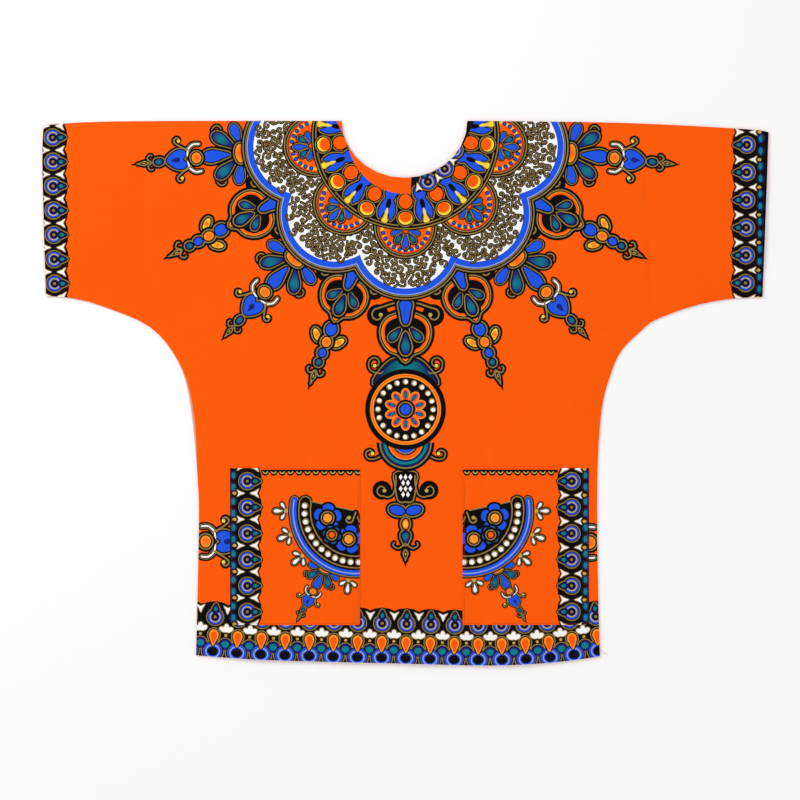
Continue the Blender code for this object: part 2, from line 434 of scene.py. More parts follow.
def lobed_field():
    """The scalloped border round the yoke, and the white field inside it."""
    shapes = []
    for inset, ink in RIM:
        lobe = flat(oval(0, 0, LOBE_RADIUS - inset, LOBE_RADIUS - inset, sides=64), ink)
        for step in range(-2, 3):
            shapes += around(lobe, LOBE_STEP * step, LOBE_AWAY)
    return shapes


def filigree(rng):
    """Small scrolls strewn over the white field in rows round the ring."""
    shapes = []
    for row, radius in enumerate(np.arange(RING_RADIUS + 9, LOBE_REACH, CURL_ROW)):
        count = int(math.radians(2 * FIELD_SPREAD) * radius / CURL_STEP)
        for index in range(count):
            share = (index + 0.5 * (row % 2)) / count
            bearing = FIELD_SPREAD * (2 * share - 1) + rng.uniform(-0.8, 0.8)
            if field_depth(bearing, radius) < CURL_ROOM:
                continue
            hand = 1 if rng.random() < 0.5 else -1
            start = rng.uniform(0, 360)
            lead = arc(0, 0, 6.8, start - 105 * hand, start - 35 * hand, 3).tolist()
            curl = coil(0, 0, rng.uniform(3.4, 4.4), start, 270 * hand, lead, None, 1.6, 0, 1.3)
            shapes += around(curl, bearing, radius + rng.uniform(-1.4, 1.4))
    return [shape._replace(ink="brown") if shape.ink == "gold" else shape for shape in in_order(shapes)]


def field_depth(bearing, radius):
    """How far a place is inside the scalloped border."""
    nearest = LOBE_STEP * min(max(round(bearing / LOBE_STEP), -2), 2)
    angle = math.radians(bearing - nearest)
    return LOBE_RADIUS - math.hypot(radius * math.sin(angle), radius * math.cos(angle) - LOBE_AWAY)


def half_medallion():
    """A half-round on the ring with a beaded rim and a small fan of leaves. Its chord is on y = 0."""
    half = 46.0
    shapes = []
    for inset, ink in ((-1, "black"), (1.0, "gold"), (2.7, "black"), (4.8, "gold"), (6.4, "black"),
                       (7.4, "deep"), (9.4, "amber"), (10.8, "yellow"), (12.8, "amber"), (15, "orange")):
        shapes += flat(arc(0, 0, half - inset, 172, 368, 27), ink)
    bead = flat(oval(0, 0, 3.4, 3.4, 0, 10), "black") + flat(oval(0, 0, 2.2, 2.2, 0, 8), "blue")
    for bearing in range(-75, 76, 15):
        shapes += around(bead, bearing, half - 12.4)
    return shapes + placed(fan(5, 140, 46, 6.8), 0, -3, 0, 0.6)


def tulip():
    """A blue cup of the ring, its mouth on the ring side, with a black heart and a yellow tongue."""
    cup = both_halves([(0, 27), (7, 26), (8, 16), (5.6, 9), (9.4, 1), (12, -10), (8, -21), (4, -13),
                       (0, -10)], 3)
    tongue = both_halves([(0, -4), (2.2, -10), (2.0, -17), (4.6, -24), (0, -26)], 3)
    halo = bands(cup, (5.0, "black"), (3.2, "gold"), (1.7, "black"), (0, "blue"))
    return in_order(halo, flat(oval(0, 2, 3.6, 8.0, 0, 12), "black", OVER), flat(tongue, "yellow", TOP))


def two_discs():
    """Two orange discs one over the other, the outer one with a yellow edge."""
    rims = ((4.8, "black"), (3.1, "gold"), (1.7, "black"))
    shapes = bands(oval(0, 8, 9.4, 10.4, sides=20), *rims, (0, "orange"))
    shapes += bands(oval(0, -16.4, 10.2, 9.4, sides=20), *rims, (0, "yellow"))
    return shapes + flat(oval(0, -14.6, 9.0, 7.4, sides=18), "orange", OVER)


def ring():
    """The ring round the neck: tulips and pairs of discs by turns, evenly spaced."""
    shapes = []
    for inset, ink in ((-3.2, "black"), (-1.4, "gold"), (0.3, "black"), (3.2, "gold"), (4.9, "black")):
        shapes += flat(oval(0, 0, RING_RADIUS - inset, RING_RADIUS - inset, sides=96), ink, HALO)
    for step in range(-7, 8):
        motif = tulip() if step % 2 else two_discs()
        shapes += around(motif, RING_STEP * step, RING_RADIUS - 31)
    return shapes


FACING_RADIUS = 84.0


def neck_strip():
    """The strip along the neck's edge: plain orange on the left, the end of a border row on the right."""
    edge = arc(*RING_CENTRE, FACING_RADIUS, 190, 350, 33)
    left = [(-100, 0)] + [place for place in edge.tolist() if place[0] < 12] + [(12, 0)]
    right = [(12, 0)] + [place for place in edge.tolist() if place[0] > 12] + [(100, 0)]
    row = []
    for bearing in (26, 50, 74):
        row += placed(around(roundel(), bearing, FACING_RADIUS - 10), *RING_CENTRE)
        row += placed(around(dart(-8, 5, 12), bearing - 12, FACING_RADIUS - 10), *RING_CENTRE)
    return flat(right, "black") + in_order(row) + flat(left, "orange")


def pendants():
    """Lilies under the lobes, sprays at the cusps and the long pendant down the front."""
    shapes = []
    for step in (-2, -1, 1, 2):
        side = 1 if step > 0 else -1
        shapes += around(placed(lily(), size=0.9), LOBE_STEP * step, LOBE_REACH - 2)
        shapes += around(spray(), LOBE_STEP * (step - 0.5 * side), CUSP_REACH - 6)
    return shapes + around(centre_pendant(), 0, LOBE_REACH - 2)


# ---------------------------------------------------------------- the border rows

CUFF_PITCH, HEM_PITCH, POCKET_PITCH = 37.0, 35.0, 35.0
CUFF_INSETS = (13.0, 25.0)  # from the left and the right cuff's edge: the cloth is cut a little off centre
POCKET_INSET = 25.0


def roundel():
    """A blue roundel with an eye, and a teal leaf that points to the garment's middle."""
    shapes = bands(oval(0, 0, 10.8, 10.8), (4.4, "black"), (2.5, "gold"), (1.1, "black"), (0, "mid blue"),
                   (-2.6, "tan"), (-4.4, "navy"), (-6.2, "black"))
    shapes += flat(oval(0, 0, 2.2, 2.2, 0, 10), "gold", TOP)
    leaf = bands(drop_shape(0, 12.6, 4.4, 6.4, 180), (4.4, "black"), (2.9, "gold"), (1.5, "black"),
                 (0, "night"))
    return in_order(shapes, leaf, flat(oval(0, 11.6, 2.6, 3.2, 0, 10), "teal", TOP))


def dart(y, width, length):
    """A white dart on the axis, notched at y and pointed at its other end."""
    half = [(0, y + length), (0.4 * width, y + 0.45 * length), (width, y), (0, y + 0.25 * length)]
    head = both_halves(half, 2)
    return bands(head, (2.8, "black"), (1.2, "gold"), (0, "white"))


def bead_pair(pitch):
    """Two dark beads of the outermost row, with a gold bud beside them."""
    shapes = []
    for shift in (-0.24, 0.24):
        shapes += flat(oval(pitch * shift, -20.5, 7.2, 6.0, 0, 14), "night", FILL)
        shapes += flat(oval(pitch * shift, -20.0, 4.8, 2.8, 0, 10), "teal", OVER)
    return shapes + flat(oval(pitch / 2, -18.6, 2.3, 3.0, 0, 10), "bright gold", OVER)


def backing(pitch, low, high):
    """The black ground of one step of a border, with a scalloped inner edge."""
    half = pitch / 2 + 2.5  # laps over the next step's ground
    edge = [(-half, low), (half, low), (half, high), (0.55 * half, high + 4), (0, high + 5.6)]
    return flat(edge + [(-0.55 * half, high + 4), (-half, high)], "black", HALO)


def band_unit(pitch):
    """One step of a cuff or pocket band. The roundel is at 0 and the garment's middle is towards +y."""
    darts = placed(dart(17, 6.6, -13) + dart(-15, 5.0, 11), pitch / 2, 0)
    return in_order(backing(pitch, -34, 16), darts, bead_pair(pitch), roundel())


def hem_unit(pitch):
    """One step of the hem's border: a half ring at the edge, an orange drop and the roundel over it."""
    half_ring = bands(oval(0, 8, 15.2, 14.2, sides=24), (1.9, "gold"), (0.6, "black"), (-1, "mid blue"),
                      (-4.4, "pale blue"), (-6.0, "blue"), (-7.6, "black"))
    tear = drop_shape(0, 27.5, 7.0, 12.0)
    tear = bands(tear, (4.6, "black"), (3, "gold"), (1.6, "black")) + flat(tear, "amber", OVER)
    tear += flat(drop_shape(0, 27.5, 4.8, 9.4), "orange", TOP)
    scallop = bands(oval(0, 19, 8.8, 8.0), (2, "gold"), (0.6, "black"), (-0.6, "navy"), (-3.4, "teal"))
    trefoil = []
    for lean in (-62, 0, 62):
        trefoil += placed(bands(oval(0, 5.4, 3.4, 5.4, 0, 12), (2.8, "black"), (1.3, "gold")), 0, 38, lean)
        trefoil += placed(flat(oval(0, 5.2, 3.4, 5.6, 0, 12), "white", OVER), 0, 38, lean)
    stud = flat(oval(0, 32, 3.6, 3.4, 0, 10), "black", OVER)
    stud += flat(oval(0, 32, 2.3, 2.1, 0, 8), "bright gold", TOP)
    between = placed(scallop + trefoil + stud, pitch / 2, 0)
    upper = placed(roundel() + placed(dart(17, 6.6, -12), pitch / 2, 0), 0, 57.6)
    return in_order(backing(pitch, -9, 75), between, half_ring, tear, upper)


def band(unit, start, end, pitch, turn):
    """The unit repeated down a straight band, from a step before its start to a step after its end."""
    run = np.subtract(end, start)
    count = int(round(math.hypot(*run) / pitch))
    shapes = []
    for step in range(-1, count + 2):
        x, y = np.asarray(start) + run * (step + 0.5) / count
        shapes += placed(unit, x, y, turn)
    return in_order(shapes)


def cuff_bands(edges):
    """The bands of both cuffs, each along its own edge."""
    shapes = []
    for edge, inset, side in zip((edges.left, edges.right), CUFF_INSETS, (-1, 1)):
        shift = (-side * inset, 0)
        shapes += band(band_unit(CUFF_PITCH), edge[-1] + shift, edge[0] + shift, CUFF_PITCH, 90 * side)
    return shapes


def hem_border(edges):
    """The hem's border, bowed with the hem and set out from the shirt's middle."""
    shapes = []
    unit = hem_unit(HEM_PITCH)
    count = int(np.abs(edges.hem_line[:, 0]).max() / HEM_PITCH) + 1
    for x in HEM_PITCH * np.arange(-count, count + 1):
        slope = (edges.hem_height(x + HEM_PITCH / 2) - edges.hem_height(x - HEM_PITCH / 2)) / HEM_PITCH
        shapes += placed(unit, x, edges.hem_height(x), math.degrees(math.atan(slope)))
    return in_order(shapes)


# ---------------------------------------------------------------- the pockets' figure

GARLAND = 74.0  # the radius of the garland's beaded band
CHAIN_STEP = 12.2


def garland():
    """A quarter garland: flowers in a beaded band and a blue one, buds outside and a lily hanging from it."""
    shapes = in_order(*[around(bud(), bearing, GARLAND + 26) for bearing in (-90, -70, -50, -6)])
    shapes += around(placed(lily(), size=0.5), -28, GARLAND + 20)
    shapes += flat([(0, 0)] + arc(0, 0, GARLAND, 168, 285, 20).tolist(), "black")
    for out, width, ink in ((16, 16, "black"), (16, 12.4, "gold"), (16, 9.6, "navy"), (16, 7.6, "blue"),
                            (16.6, 1.6, "pale blue"), (0, 23, "black"), (0, 18.6, "gold"), (0, 15, "black")):
        shapes += flat(ribbon(arc(0, 0, GARLAND + out, 170, 284, 28), width), ink)
    pearl = flat(oval(0, 0, 5.0, 5.0, 0, 12), "gold") + flat(oval(0.5, -0.5, 3.5, 3.5, 0, 10), "white")
    for end in (168, 285):
        shapes += flat(ribbon(np.array([[0, 0], arc(0, 0, GARLAND - 9, end, end, 1)[0]]), 1.9), "gold")
    for bearing in np.arange(-96, 12, 9.0):
        shapes += around(pearl, bearing, GARLAND)
    for bearing in (-76, -14):
        shapes += around(rosette(21, 5, "blue", None, "amber"), bearing, 42)
    shapes += around(rosette(14, 6, "navy", "teal", "orange"), -45, 49)
    return shapes + pair(in_order(coil(10, -12, 6, 200, 260, [(0, -2), (3, -10)], "bright gold", 2.2)))


def bud():
    """A white three-leaved bud on a gold bead."""
    leaves = placed(fan(3, 110, 34, 4.6, (("white", None),)), size=0.55)
    return in_order(leaves, flat(oval(0, -1, 2.8, 2.8, 0, 10), "bright gold", TOP))


def chain(start, end, y):
    """The black and gold chain along a pocket's mouth."""
    shapes = flat([(start, y + 2.6), (start, y - 1.6), (end, y - 1.6), (end, y + 2.6)], "black", HALO)
    for x in np.arange(start + CHAIN_STEP / 2, end, CHAIN_STEP):
        shapes += flat(oval(x, y - 1.8, 5.0, 4.4, 0, 12), "black", HALO)
        shapes += flat(ribbon(arc(x, y + 0.8, 3.4, 200, 340, 7), 1.8), "bright gold", OVER)
    return in_order(shapes)


# ---------------------------------------------------------------- where the print lies


def body_print(edges, rng):
    """The print of the body panels, from the first shape printed to the last."""
    shapes = cuff_bands(edges) + hem_border(edges)
    for end, turn in ((edges.hem_line[0], 90), (edges.hem_line[-1], -90)):
        shapes += placed(lily(), end[0] - math.copysign(62, turn), end[1] + 165, turn)
    yoke = pendants() + lobed_field() + filigree(rng)
    for step in range(-2, 3):
        yoke += around(half_medallion(), LOBE_STEP * step, RING_RADIUS - 2)
    return shapes + placed(yoke + ring(), *RING_CENTRE) + neck_strip()


def pocket_print(side, low, high):
    """The print of one pocket, between its two corners. side is -1 on the left and 1 on the right."""
    outer, inner = (low[0], high[0]) if side < 0 else (high[0], low[0])
    shapes = placed(garland(), inner + side * 6, high[1] - 62, flip=side > 0)
    row = outer - side * POCKET_INSET
    start, end = sorted((row - side * 20, inner))
    shapes += chain(start, end, high[1] - 5)
    return shapes + band(band_unit(POCKET_PITCH), (row, high[1]), (row, low[1]), POCKET_PITCH, 90 * side)


# ---------------------------------------------------------------- the cloth's form


def from_print(points, z):
    """Print millimetres and heights in metres as places in metres."""
    return np.column_stack([points[:, 0] * MM + NECK[0], points[:, 1] * MM + NECK[1], z])


def upper_edge(node):
    """The loop round a CAD panel's upper side, in print millimetres."""
    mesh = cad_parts[node].data
    matrix = np.array(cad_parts[node].matrix_world)
    places = np.array([matrix[:3, :3] @ v.co + matrix[:3, 3] for v in mesh.vertices])
    keys, index = np.unique(np.round(places[:, :2], 5), axis=0, return_inverse=True)
    index = index.reshape(-1)
    used = {}
    for polygon in mesh.polygons:
        if polygon.normal.z < 0.5:
            continue
        corners = index[list(polygon.vertices)]
        for a, b in zip(corners, np.roll(corners, -1)):
            used[(a, b)] = used.get((a, b), 0) + 1
    rim = {a: b for a, b in used if (b, a) not in used}
    loop = longest_loop(rim)
    return (keys[loop] - NECK) / MM


def longest_loop(following):
    """The longest closed run in a table of each point's next one."""
    left = dict(following)
    best = []
    while left:
        start, point = left.popitem()
        run = [start]
        while point in left:
            run.append(point)
            point = left.pop(point)
        if len(run) > len(best):
            best = run
    return best


class Heights:
    """A CAD node's upper side as a soft height field, in metres, over print millimetres."""

    STEP = 5.0

    def __init__(self, node, softness):
        low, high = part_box(node)
        self.x0, self.y0 = [(low[i] - NECK[i]) / MM - 20 for i in (0, 1)]
        x1, y1 = [(high[i] - NECK[i]) / MM + 20 for i in (0, 1)]
        xs, ys = np.arange(self.x0, x1, self.STEP), np.arange(self.y0, y1, self.STEP)
        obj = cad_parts[node]
        tree = BVHTree.FromObject(obj, bpy.context.evaluated_depsgraph_get())
        inverse = obj.matrix_world.inverted()
        top = np.zeros((len(ys), len(xs)))
        hit = np.zeros_like(top)
        for row, y in enumerate(ys):
            for column, x in enumerate(xs):
                start = inverse @ Vector((x * MM + NECK[0], y * MM + NECK[1], 0.1))
                place = tree.ray_cast(start, Vector((0, 0, -1)))[0]
                if place:
                    top[row, column] = (obj.matrix_world @ place).z
                    hit[row, column] = 1
        weight = softened(hit, softness / self.STEP)
        self.table = softened(top, softness / self.STEP) / np.maximum(weight, 1e-6)
        self.table[weight < 1e-6] = low[2]

    def at(self, x, y):
        rows, columns = self.table.shape
        u = np.clip((x - self.x0) / self.STEP, 0, columns - 1.001)
        v = np.clip((y - self.y0) / self.STEP, 0, rows - 1.001)
        i, j = u.astype(int), v.astype(int)
        fu, fv = u - i, v - j
        t = self.table
        below = t[j, i] * (1 - fu) + t[j, i + 1] * fu
        above = t[j + 1, i] * (1 - fu) + t[j + 1, i + 1] * fu
        return below * (1 - fv) + above * fv


def softened(table, spread):
    """The table blurred both ways by a bell curve of that many steps."""
    reach = int(3 * spread) + 1
    bell = np.exp(-0.5 * (np.arange(-reach, reach + 1) / spread) ** 2)
    bell /= bell.sum()
    for axis in (0, 1):
        table = np.apply_along_axis(lambda line: np.convolve(line, bell, mode="same"), axis, table)
    return table


# Creases pressed into the cloth. Columns: x and y of each end in print millimetres, how deep, and how wide
# half of the trough is. A crease below 0 deep is a ridge.
PRESSED = (
    (-386, -12, -366, -285, 1.3, 4.5),
    (348, -20, 358, -290, 1.2, 4.5),
    (-139, -436, -136, -700, 0.5, 5.0),
    (116, -380, 118, -768, 0.5, 5.0),
    (-349, -307, -163, -311, 1.0, 4.5),
    (245, -306, 313, -309, 0.9, 4.5),
    (-375, -12, -356, -285, -0.45, 4.5),
    (127, -380, 129, -768, -0.4, 5.0),
    (-300, -712, -255, -712, 0.4, 4.0),
    (268, -712, 281, -712, 0.5, 4.0),
    (-440, -150, -395, -160, 0.35, 7.0),
    (395, -120, 455, -135, 0.35, 7.0),
    (-250, -352, -210, -420, 0.35, 8.0),
    (236, -360, 262, -430, 0.35, 8.0),
)


def along_line(x, y, x0, y0, x1, y1):
    """How far each place is along a line, from 0 to 1, and how far off it."""
    dx, dy = x1 - x0, y1 - y0
    share = np.clip(((x - x0) * dx + (y - y0) * dy) / (dx * dx + dy * dy), 0, 1)
    return share, np.hypot(x - x0 - share * dx, y - y0 - share * dy)


def pressed(x, y):
    """The height the pressed creases add, in metres."""
    lift = np.zeros(len(x))
    for x0, y0, x1, y1, depth, half in PRESSED:
        share, off = along_line(x, y, x0, y0, x1, y1)
        fade = np.clip(6 * share, 0, 1) * np.clip(6 * (1 - share), 0, 1)
        wander = 1 + 0.35 * np.sin(share * 17 + x0)
        lift -= depth * MM * fade * wander * np.exp(-(off / half) ** 2)
    return lift


def undulation(x, y):
    """Slow waves of cloth that lies loose, in metres. They are widest at the hem and the cuffs."""
    slow = np.sin(x / 61 + 1.3 * np.sin(y / 93)) * np.sin(y / 71 + 0.8) * 0.35
    slow += np.sin(x / 27 - y / 43 + 2.0) * np.sin(x / 88 + 1.1) * 0.16
    hem = np.exp(-np.clip(y + 790, 0, None) / 70) * np.sin(x / 19 + 0.7 * np.sin(x / 53)) * 0.45
    cuff = np.exp(-np.clip(525 - np.abs(x), 0, None) / 60) * np.sin(y / 15 + 1.0) * 0.35
    return (slow + hem + cuff) * MM


HEM_TURNING, CUFF_TURNING, NECK_TURNING = 14.0, 12.0, 8.0  # how deep the cloth is turned under, in mm


class Edges:
    """How far a place is from each kind of edge of a body panel, in print millimetres."""

    def __init__(self, loop):
        self.loop = loop
        x, y = loop[:, 0], loop[:, 1]
        low = loop[y < y.min() + 15.5]
        self.hem_line = low[np.argsort(low[:, 0])]
        self.left = loop[(x < x.min() + 9) & (y < -2)]
        self.right = loop[(x > x.max() - 11) & (y < -2)]
        self.left = self.left[np.argsort(self.left[:, 1])]
        self.right = self.right[np.argsort(self.right[:, 1])]
        self.neck = loop[(np.abs(x) < 92) & (y > -95)]
        self.neck = self.neck[np.argsort(np.arctan2(self.neck[:, 1] - 5.0, self.neck[:, 0]))]

    def hem_height(self, x):
        return np.interp(x, self.hem_line[:, 0], self.hem_line[:, 1])

    def hem(self, x, y):
        return y - self.hem_height(x)

    def cuff(self, x, y):
        left = x - np.interp(y, self.left[:, 1], self.left[:, 0])
        right = np.interp(y, self.right[:, 1], self.right[:, 0]) - x
        return np.where(y > -300, np.minimum(left, right), 999.0)

    def neckline(self, x, y):
        near = np.full(len(x), 999.0)
        for a, b in zip(self.neck[:-1], self.neck[1:]):
            near = np.minimum(near, along_line(x, y, a[0], a[1], b[0], b[1])[1])
        return near

    def outer(self, x, y):
        """How far a place is from the panel's nearest edge."""
        near = np.full(len(x), 999.0)
        for a, b in zip(self.loop, np.roll(self.loop, -1, axis=0)):
            near = np.minimum(near, along_line(x, y, a[0], a[1], b[0], b[1])[1])
        return near


def turned_under(off, depth):
    """The height of a turned and stitched edge over single cloth, in metres, by the distance off the edge."""
    double = 0.42 * np.clip((depth + 1.5 - off) / 1.5, 0, 1)
    stitched = -0.34 * np.exp(-((off - depth + 2.2) / 1.1) ** 2)
    return (double + stitched) * MM


# ---------------------------------------------------------------- meshes


def inside(loop, x, y):
    """Whether each place is inside a loop that runs anticlockwise, by its winding number."""
    ax, ay = loop[:, 0][:, None], loop[:, 1][:, None]
    bx, by = np.roll(loop[:, 0], -1)[:, None], np.roll(loop[:, 1], -1)[:, None]
    side = (bx - ax) * (y - ay) - (x - ax) * (by - ay)
    up = (ay <= y) & (by > y) & (side > 0)
    down = (ay > y) & (by <= y) & (side < 0)
    return (up.sum(axis=0) - down.sum(axis=0)) > 0


def linear(ink):
    """An ink's colour as Blender counts it."""
    value = np.array(INKS[ink]) / 255
    return np.where(value <= 0.04045, value / 12.92, ((value + 0.055) / 1.055) ** 2.4)


def triangles(loop, places, joins, loose):
    """The triangles inside a loop whose sides follow the joins between places: points and corners."""
    verts = [Vector(p) for part in (loop, places, loose) for p in np.asarray(part, float).tolist()]
    edges = (np.asarray(joins, int).reshape(-1, 2) + len(loop)).tolist()
    made = delaunay_2d_cdt(verts, edges, [list(range(len(loop)))], 1, 1e-4, False)
    points, corners = np.array([p[:] for p in made[0]]), np.array(made[2])
    middle = points[corners].mean(axis=1)
    keep = np.zeros(len(corners), bool)
    for start in range(0, len(corners), 20000):
        part = slice(start, start + 20000)
        keep[part] = inside(turned_left(loop), middle[part, 0], middle[part, 1])
    a, b, c = points[corners[:, 0]], points[corners[:, 1]], points[corners[:, 2]]
    area = (b[:, 0] - a[:, 0]) * (c[:, 1] - a[:, 1]) - (c[:, 0] - a[:, 0]) * (b[:, 1] - a[:, 1])
    corners[area < 0] = corners[area < 0][:, ::-1]
    corners = corners[keep & (np.abs(area) > 1e-7)]
    used, corners = np.unique(corners, return_inverse=True)
    return points[used], corners.reshape(-1, 3)


def outlines_of(shapes):
    """All the shapes' outlines as places and the joins between them."""
    places, joins, count = [], [], 0
    for shape in shapes:
        size = len(shape.outline)
        index = np.arange(size)
        joins.append(np.stack([index, (index + 1) % size], axis=1) + count)
        places.append(shape.outline)
        count += size
    return np.vstack(places), np.vstack(joins)


def topmost(points, corners, shapes):
    """The number of the shape that lies on top in each triangle, or -1 for the ground."""
    middle = points[corners].mean(axis=1)
    order = np.argsort(middle[:, 0])
    x, y = middle[order, 0], middle[order, 1]
    top = np.full(len(corners), -1)
    for number in range(len(shapes) - 1, -1, -1):
        outline = shapes[number].outline
        low, high = outline.min(axis=0), outline.max(axis=0)
        start, end = np.searchsorted(x, [low[0], high[0]])
        bare = (top[start:end] < 0) & (y[start:end] >= low[1]) & (y[start:end] <= high[1])
        near = np.nonzero(bare)[0] + start
        if len(near):
            top[near[inside(outline, x[near], y[near])]] = number
    found = np.empty(len(corners), int)
    found[order] = top
    return found


def thinned(places, joins, slack):
    """The joins without the places that lie on a straight run, to within the slack."""
    linked = {}
    for a, b in joins.tolist():
        linked.setdefault(a, set()).add(b)
        linked.setdefault(b, set()).add(a)
    spots = places.tolist()
    for spot in list(linked):
        if len(linked[spot]) != 2:
            continue
        a, b = linked[spot]
        if b in linked[a]:
            continue
        (px, py), (ax, ay), (bx, by) = spots[spot], spots[a], spots[b]
        length = math.hypot(bx - ax, by - ay)
        if length > 0 and abs((bx - ax) * (ay - py) - (ax - px) * (by - ay)) < slack * length:
            linked[a].discard(spot)
            linked[b].discard(spot)
            linked[a].add(b)
            linked[b].add(a)
            del linked[spot]
    return np.array([(a, b) for a in linked for b in linked[a] if a < b])


class Print:
    """The shapes printed over one another, and the lines between their inks that show."""

    def __init__(self, shapes, low, high):
        self.shapes = [shape for shape in shapes if np.all(shape.outline.max(axis=0) > low)
                       and np.all(shape.outline.min(axis=0) < high)]
        sheet = np.array([low, (high[0], low[1]), high, (low[0], high[1])], float)
        points, corners = triangles(sheet, *outlines_of(self.shapes), np.zeros((0, 2)))
        self.top = topmost(points, corners, self.shapes)
        inks = list(INKS)
        kinds = np.array([inks.index(s.ink) if not s.glow else 100 + i for i, s in enumerate(self.shapes)]
                         + [inks.index("orange")])
        self.points, self.joins = self.borders(points, corners, kinds[self.top])
        flat_points = np.column_stack([points, np.zeros(len(points))])
        self.tree = BVHTree.FromPolygons(flat_points.tolist(), corners.tolist(), all_triangles=True)

    @staticmethod
    def borders(points, corners, kind):
        """The triangle sides with a different ink on each hand."""
        sides = np.concatenate([corners[:, [0, 1]], corners[:, [1, 2]], corners[:, [2, 0]]])
        sides = np.sort(sides, axis=1)
        owner = np.tile(kind, 3)
        order = np.lexsort((sides[:, 1], sides[:, 0]))
        sides, owner = sides[order], owner[order]
        same = np.all(sides[1:] == sides[:-1], axis=1)
        return points, sides[:-1][same & (owner[1:] != owner[:-1])]

    def lines(self, grain):
        """The places and joins of the lines that show, on a grid of that grain."""
        cells, index = np.unique(np.round(self.points / grain).astype(int), axis=0, return_inverse=True)
        joins = np.sort(index.reshape(-1)[self.joins], axis=1)
        joins = np.unique(joins[joins[:, 0] != joins[:, 1]], axis=0)
        joins = thinned(cells * grain, joins, grain * 0.45)
        used, joins = np.unique(joins, return_inverse=True)
        return cells[used] * grain, joins.reshape(-1, 2)

    def colours(self, points, corners):
        """The ink at each triangle's corners."""
        middle = points[corners].mean(axis=1)
        down = Vector((0, 0, -1))
        hits = [self.tree.ray_cast(Vector((x, y, 1)), down)[2] for x, y in middle.tolist()]
        top = np.array([-1 if hit is None else self.top[hit] for hit in hits])
        colours = np.tile(linear("orange"), (len(corners), 3, 1))
        table = {ink: linear(ink) for ink in INKS}
        order = np.argsort(top, kind="stable")
        for group in np.split(order, np.nonzero(np.diff(top[order]))[0] + 1):
            if top[group[0]] < 0:
                continue
            shape = self.shapes[top[group[0]]]
            colours[group] = table[shape.ink]
            if shape.glow:
                place = points[corners[group]]
                off = np.hypot(place[..., 0] - shape.glow.x, place[..., 1] - shape.glow.y) / shape.glow.reach
                share = np.clip(1.15 - off, 0, 1)[..., None]
                colours[group] = colours[group] * (1 - share) + table[shape.glow.ink] * share
        return colours


def rim_of(corners):
    """The outer loop of the triangles, anticlockwise."""
    sides = np.concatenate([corners[:, [0, 1]], corners[:, [1, 2]], corners[:, [2, 0]]])
    known = set(map(tuple, sides.tolist()))
    return longest_loop({a: b for a, b in known if (b, a) not in known})


def grid_points(loop, step):
    """Places on a staggered grid inside the loop, away from its edge."""
    low, high = loop.min(axis=0), loop.max(axis=0)
    rows = []
    for row, y in enumerate(np.arange(low[1] + step / 2, high[1], step * 0.87)):
        xs = np.arange(low[0] + step * (0.25 + 0.5 * (row % 2)), high[0], step)
        rows.append(np.stack([xs, np.full(len(xs), y)], axis=1))
    places = np.vstack(rows)
    return places[inside(turned_left(loop), places[:, 0], places[:, 1])]


def mesh_object(name, points, corners, colours):
    """A smooth mesh in metres, with its ink on its corners."""
    mesh = bpy.data.meshes.new(name)
    mesh.vertices.add(len(points))
    mesh.vertices.foreach_set("co", points.astype(np.float32).ravel())
    mesh.loops.add(corners.size)
    mesh.loops.foreach_set("vertex_index", corners.astype(np.int32).ravel())
    mesh.polygons.add(len(corners))
    mesh.polygons.foreach_set("loop_start", np.arange(0, corners.size, 3, dtype=np.int32))
    mesh.polygons.foreach_set("use_smooth", np.ones(len(corners), bool))
    mesh.update(calc_edges=True)
    ink = mesh.color_attributes.new("ink", "FLOAT_COLOR", "CORNER")
    rgba = np.concatenate([colours, np.ones(colours.shape[:2] + (1,))], axis=2)
    ink.data.foreach_set("color", rgba.astype(np.float32).ravel())
    mesh.validate()
    obj = bpy.data.objects.new(name, mesh)
    bpy.context.scene.collection.objects.link(obj)
    return obj


def lay_out(obj, faces_up):
    """The OFBake layout: the printed side fills most of the square, and the plain side sits under it."""
    mesh = obj.data
    places = np.empty(len(mesh.vertices) * 3)
    mesh.vertices.foreach_get("co", places)
    places = places.reshape(-1, 3)
    low, high = places.min(axis=0), places.max(axis=0)
    share = (places[:, :2] - low[:2]) / (high[:2] - low[:2]).max()
    index = np.empty(len(mesh.loops), np.int32)
    mesh.loops.foreach_get("vertex_index", index)
    uv = share[index]
    printed = np.repeat(faces_up, 3)
    deep = share[:, 1].max()
    if deep < 0.8:
        scale = np.where(printed, 0.98, 0.2)[:, None]
        shift = np.where(printed[:, None], (0.01, 0.01), (0.01, 0.03 + 0.98 * deep))
    else:
        scale = np.where(printed, 0.78, 0.18)[:, None]
        shift = np.where(printed[:, None], (0.01, 0.01), (0.81, 0.01))
    layer = mesh.uv_layers.new(name="OFBake")
    layer.data.foreach_set("uv", (uv * scale + shift).astype(np.float32).ravel())


